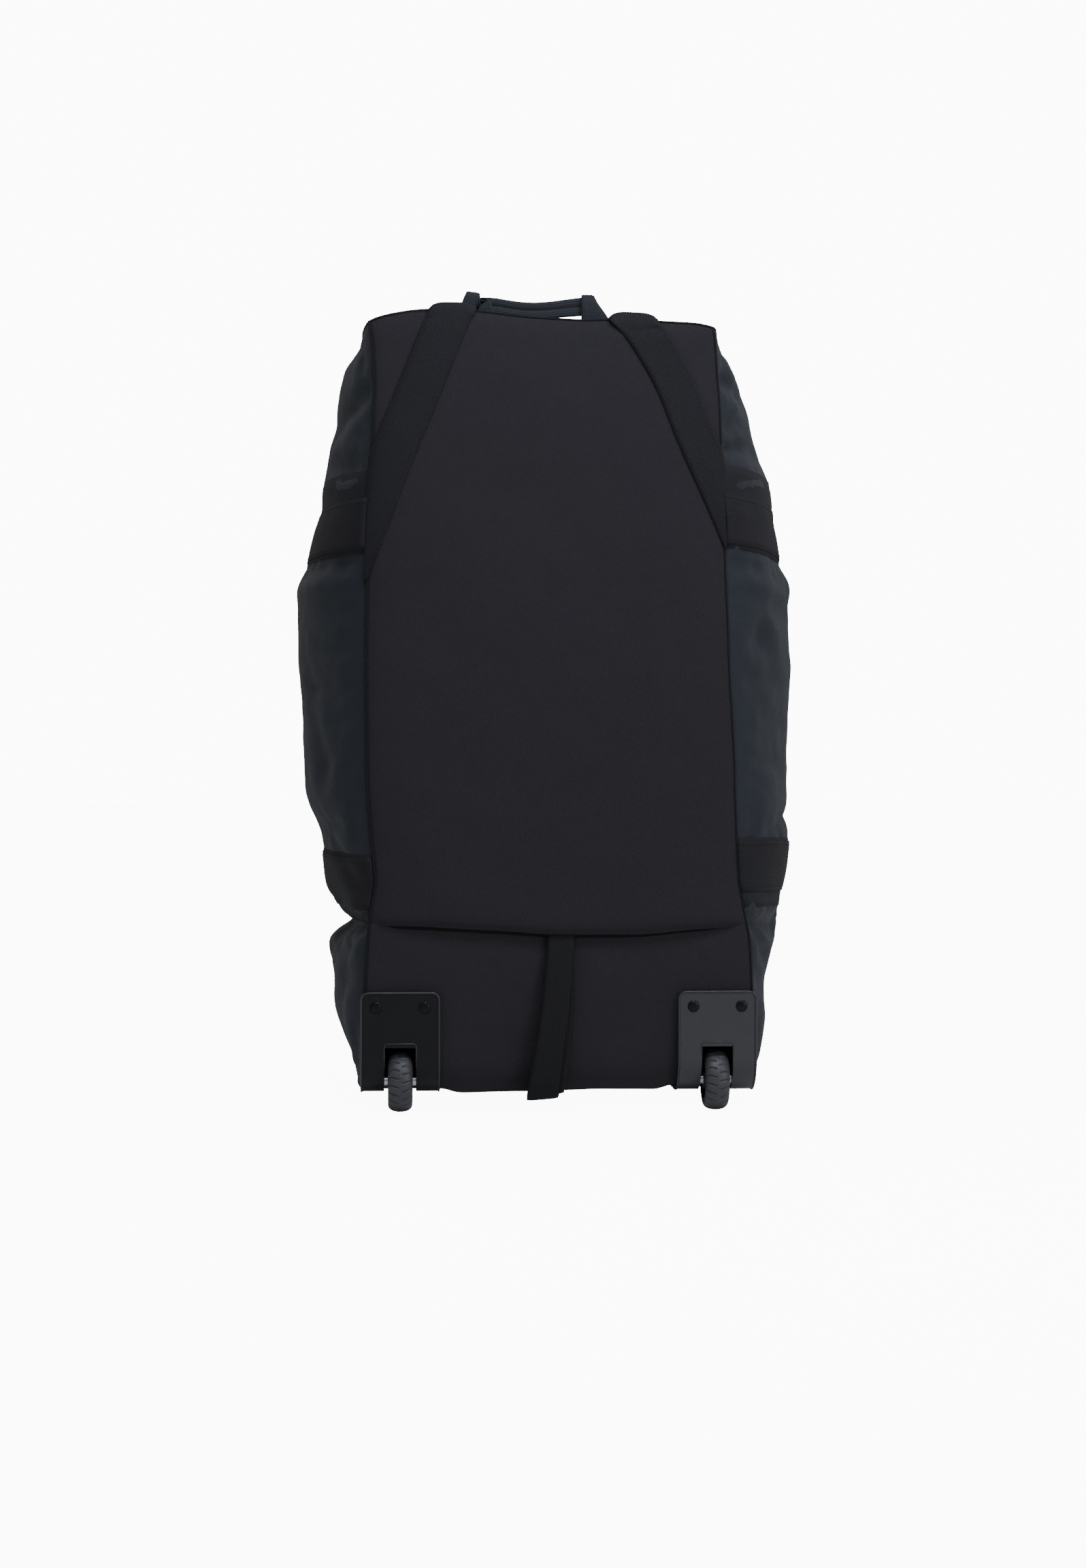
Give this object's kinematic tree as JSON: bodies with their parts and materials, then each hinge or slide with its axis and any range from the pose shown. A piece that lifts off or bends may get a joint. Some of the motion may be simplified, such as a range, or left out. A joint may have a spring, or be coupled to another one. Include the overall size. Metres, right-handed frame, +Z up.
{
  "type": "rolling duffel bag",
  "caption": "Tall soft duffel bag on wheels: bulging fabric body, V straps on the back, webbing bands, moulded wheel corners, pull handle, zipped front flaps.",
  "frame": {"origin": "on the floor under the middle of the bag, which stands upright on its wheels and feet", "axes": "+Z up along the bag's length, +Y from the back panel towards the zipped front, +X to the right seen from behind the back panel"},
  "size_m": [0.4965, 0.4023, 0.8],
  "materials": {
    "back_fabric": "matte woven charcoal polyester, padded",
    "base_fabric": "dense dark woven fabric, stiffened",
    "side_fabric": "woven nylon with a slight sheen",
    "board": "plain polyethylene board",
    "webbing": "ribbed black webbing",
    "patch_fabric": "woven black reinforcement fabric",
    "moulding": "satin black moulding",
    "tread": "ribbed grey rubber",
    "hub_plastic": "black moulding",
    "zip_metal": "black lacquered metal",
    "rivet_metal": "black glossy dome heads",
    "steel": "zinc plated steel",
    "zip_tape": "black zipper tape and coil"
  },
  "bodies": {
    "bag": {"back_panel": "back_fabric", "base_boot": "base_fabric", "bottom_end_panel": "base_fabric", "top_end_panel": "side_fabric", "front_upper_strip": "side_fabric", "front_lower_strip": "side_fabric", "back_stiffener_board": "board", "base_board": "board", "grab_loop": "webbing", "stand_foot_screws": "steel", "zip_upper_end": "zip_tape", "zip_lower_end": "zip_tape", "left_side_panel": "side_fabric", "upper_left_patch": "patch_fabric", "upper_left_band": "webbing", "lower_left_patch": "patch_fabric", "lower_left_band": "webbing", "back_strap_left": "webbing", "wheel_housing_left": "moulding", "rivets_left": "rivet_metal", "rivet_washers_left": "steel", "axle_left": "steel", "axle_spacers_left": "steel", "stand_foot_left": "moulding", "right_side_panel": "side_fabric", "upper_right_patch": "patch_fabric", "upper_right_band": "webbing", "lower_right_patch": "patch_fabric", "lower_right_band": "webbing", "back_strap_right": "webbing", "wheel_housing_right": "moulding", "rivets_right": "rivet_metal", "rivet_washers_right": "steel", "axle_right": "steel", "axle_spacers_right": "steel", "stand_foot_right": "moulding"},
    "wheel_left": {"tyre_left": "tread", "hub_left": "hub_plastic", "bearings_left": "steel"},
    "flap_left": {"front_flap_left": "side_fabric", "zip_tape_left": "zip_tape", "flap_band_upper_left": "webbing", "flap_band_lower_left": "webbing", "flap_end_tabs_left": "patch_fabric"},
    "wheel_right": {"tyre_right": "tread", "hub_right": "hub_plastic", "bearings_right": "steel"},
    "flap_right": {"front_flap_right": "side_fabric", "zip_tape_right": "zip_tape", "flap_band_upper_right": "webbing", "flap_band_lower_right": "webbing", "flap_end_tabs_right": "patch_fabric"},
    "carry_left": {"carry_handle_left": "webbing"},
    "carry_right": {"carry_handle_right": "webbing", "grip_wrap": "patch_fabric"},
    "top_handle": {"pull_handle": "webbing"},
    "slider": {"zip_slider": "zip_metal"},
    "pull_tab": {"zip_pull_tab": "zip_metal"}
  },
  "joints": [
    {"name": "wheel_left_spin", "type": "hinge", "parent": "bag", "child": "wheel_left", "pos_m": [-0.154, -0.173, 0.03], "axis": [1, 0, 0], "continuous": true},
    {"name": "wheel_right_spin", "type": "hinge", "parent": "bag", "child": "wheel_right", "pos_m": [0.154, -0.173, 0.03], "axis": [1, 0, 0], "continuous": true},
    {"name": "flap_left_open", "type": "hinge", "parent": "bag", "child": "flap_left", "pos_m": [-0.163, 0.188, 0.3925], "axis": [0, 0, 1], "range_deg": [0, 110]},
    {"name": "carry_left_swing", "type": "hinge", "parent": "flap_left", "child": "carry_left", "pos_m": [-0.053, 0.1912, 0.3985], "axis": [0, 0, -1], "range_deg": [0, 100]},
    {"name": "flap_right_open", "type": "hinge", "parent": "bag", "child": "flap_right", "pos_m": [0.163, 0.188, 0.3925], "axis": [0, 0, -1], "range_deg": [0, 110]},
    {"name": "carry_right_swing", "type": "hinge", "parent": "flap_right", "child": "carry_right", "pos_m": [0.053, 0.1912, 0.3985], "axis": [0, 0, 1], "range_deg": [0, 100]},
    {"name": "top_handle_swing", "type": "hinge", "parent": "bag", "child": "top_handle", "pos_m": [-0.023, -0.15, 0.773], "axis": [1, 0, 0], "range_deg": [-80, 50]},
    {"name": "slider_slide", "type": "slide", "parent": "bag", "child": "slider", "axis": [0, 0, -1], "range_m": [0, 0.619]},
    {"name": "pull_tab_swing", "type": "hinge", "parent": "slider", "child": "pull_tab", "pos_m": [0, 0.1891, 0.7055], "axis": [1, 0, 0], "range_deg": [0, 135]}
  ]
}
